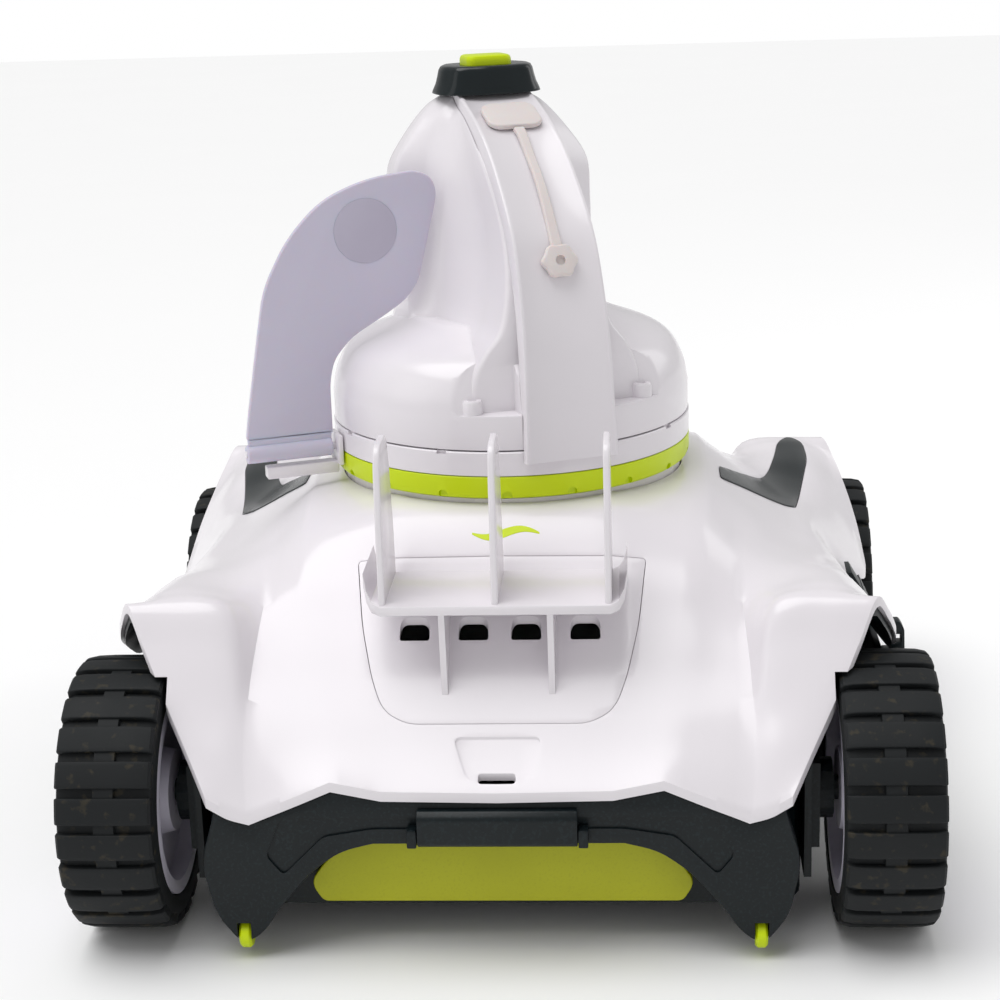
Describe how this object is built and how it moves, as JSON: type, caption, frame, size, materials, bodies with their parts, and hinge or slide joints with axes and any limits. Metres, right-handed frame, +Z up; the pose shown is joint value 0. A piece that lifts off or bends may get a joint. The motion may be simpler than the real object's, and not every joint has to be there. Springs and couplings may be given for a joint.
{
  "type": "pool cleaner",
  "caption": "Cordless pool floor cleaner: wheeled chassis with filter tray, lift-up ribbed cover, and a swivelling jet turret with a steering flap.",
  "frame": {"origin": "on the floor under the middle of the machine", "axes": "+Z up, +X to the machine's right as seen from the front, the front (latch side) towards -Y"},
  "size_m": [0.42, 0.446, 0.414],
  "materials": {
    "black_plastic": "satin",
    "screen": "fine woven",
    "lime_plastic": "semi gloss",
    "rubber": "matt",
    "tyre": "matt with dry silt",
    "hub_plastic": "satin",
    "white_plastic": "gloss",
    "dark_gloss": "gloss",
    "port_rubber": "satin",
    "frosted_plastic": "frosted",
    "foam": "matt",
    "steel": "brushed",
    "battery_wrap": "satin",
    "board": "satin"
  },
  "bodies": {
    "chassis": {"chassis_tub": "black_plastic", "bottom_plate": "black_plastic", "fascia_front": "black_plastic", "fascia_rear": "black_plastic", "side_skirt_right": "black_plastic", "side_skirt_left": "black_plastic", "side_bracket": "black_plastic", "filter_tray": "black_plastic", "filter_mesh": "screen", "filter_panel_front": "lime_plastic", "filter_panel_rear": "lime_plastic", "wheel_carrier_fl": "black_plastic", "wheel_carrier_fr": "black_plastic", "wheel_carrier_rl": "black_plastic", "wheel_carrier_rr": "black_plastic"},
    "latch": {"latch_front": "black_plastic"},
    "intake_left": {"intake_flap_left": "rubber"},
    "intake_right": {"intake_flap_right": "rubber"},
    "cover": {"upper_shell": "white_plastic", "hatch_front": "white_plastic", "hatch_rear": "white_plastic", "spoiler_front": "white_plastic", "spoiler_rear": "white_plastic", "inlay_rl": "dark_gloss", "inlay_rr": "dark_gloss", "seat_collar": "white_plastic"},
    "turret": {"spigot": "black_plastic", "trim_ring": "lime_plastic", "base_ring": "white_plastic", "seal_ring": "rubber", "tower_shell": "white_plastic", "handle_band": "white_plastic", "handle_cap": "dark_gloss", "port_strap": "port_rubber", "outlet_nozzle": "dark_gloss", "flap_bracket": "white_plastic", "motor": "steel", "battery_left": "battery_wrap", "battery_right": "battery_wrap", "control_board": "board"},
    "button": {"power_button": "lime_plastic"},
    "port": {"port_cap": "port_rubber"},
    "flap": {"flap": "frosted_plastic", "flap_float": "foam"},
    "impeller": {"impeller": "black_plastic"},
    "wheel_fl": {"hub_fl": "hub_plastic", "tyre_fl": "tyre"},
    "roller_fl": {"guide_roller_fl": "lime_plastic"},
    "wheel_fr": {"hub_fr": "hub_plastic", "tyre_fr": "tyre"},
    "roller_fr": {"guide_roller_fr": "lime_plastic"},
    "wheel_rl": {"hub_rl": "hub_plastic", "tyre_rl": "tyre"},
    "roller_rl": {"guide_roller_rl": "lime_plastic"},
    "wheel_rr": {"hub_rr": "hub_plastic", "tyre_rr": "tyre"},
    "roller_rr": {"guide_roller_rr": "lime_plastic"}
  },
  "joints": [
    {"name": "wheel_spin_fl", "type": "hinge", "parent": "chassis", "child": "wheel_fl", "pos_m": [-0.1865, -0.155, 0.068], "axis": [1, 0, 0], "continuous": true},
    {"name": "roller_spin_fl", "type": "hinge", "parent": "chassis", "child": "roller_fl", "pos_m": [-0.125, -0.199, 0.012], "axis": [1, 0, 0], "continuous": true},
    {"name": "wheel_spin_fr", "type": "hinge", "parent": "chassis", "child": "wheel_fr", "pos_m": [0.1865, -0.155, 0.068], "axis": [1, 0, 0], "continuous": true},
    {"name": "roller_spin_fr", "type": "hinge", "parent": "chassis", "child": "roller_fr", "pos_m": [0.125, -0.199, 0.012], "axis": [1, 0, 0], "continuous": true},
    {"name": "wheel_spin_rl", "type": "hinge", "parent": "chassis", "child": "wheel_rl", "pos_m": [-0.1865, 0.155, 0.068], "axis": [1, 0, 0], "continuous": true},
    {"name": "roller_spin_rl", "type": "hinge", "parent": "chassis", "child": "roller_rl", "pos_m": [-0.125, 0.199, 0.012], "axis": [1, 0, 0], "continuous": true},
    {"name": "wheel_spin_rr", "type": "hinge", "parent": "chassis", "child": "wheel_rr", "pos_m": [0.1865, 0.155, 0.068], "axis": [1, 0, 0], "continuous": true},
    {"name": "roller_spin_rr", "type": "hinge", "parent": "chassis", "child": "roller_rr", "pos_m": [0.125, 0.199, 0.012], "axis": [1, 0, 0], "continuous": true},
    {"name": "cover_open", "type": "hinge", "parent": "chassis", "child": "cover", "pos_m": [0, 0.2115, 0.0795], "axis": [-1, 0, 0], "range_deg": [0, 40]},
    {"name": "latch_release", "type": "hinge", "parent": "chassis", "child": "latch", "pos_m": [0, -0.21, 0.067], "axis": [1, 0, 0], "range_deg": [0, 25], "stiffness_Nm_per_rad": 0.4},
    {"name": "intake_flap_left_swing", "type": "hinge", "parent": "chassis", "child": "intake_left", "pos_m": [-0.0315, 0, 0.0264], "axis": [0, 1, 0], "range_deg": [0, 45]},
    {"name": "intake_flap_right_swing", "type": "hinge", "parent": "chassis", "child": "intake_right", "pos_m": [0.0315, 0, 0.0264], "axis": [0, -1, 0], "range_deg": [0, 45]},
    {"name": "turret_swivel", "type": "hinge", "parent": "cover", "child": "turret", "pos_m": [0, 0, 0.2], "axis": [0, 0, 1], "range_deg": [-75, 30]},
    {"name": "flap_swing", "type": "hinge", "parent": "turret", "child": "flap", "pos_m": [-0.1163, -0.04581, 0.215], "axis": [0.9304, 0.3665, 0], "range_deg": [0, 35]},
    {"name": "power_button_press", "type": "slide", "parent": "turret", "child": "button", "axis": [0, 0, -1], "range_m": [0, 0.002], "stiffness_N_per_m": 400},
    {"name": "port_cap_pull", "type": "slide", "parent": "turret", "child": "port", "axis": [0.1497, -0.38, 0.9128], "range_m": [0, 0.01]},
    {"name": "impeller_spin", "type": "hinge", "parent": "turret", "child": "impeller", "pos_m": [0, 0, 0.195], "axis": [0, 0, 1], "continuous": true}
  ]
}
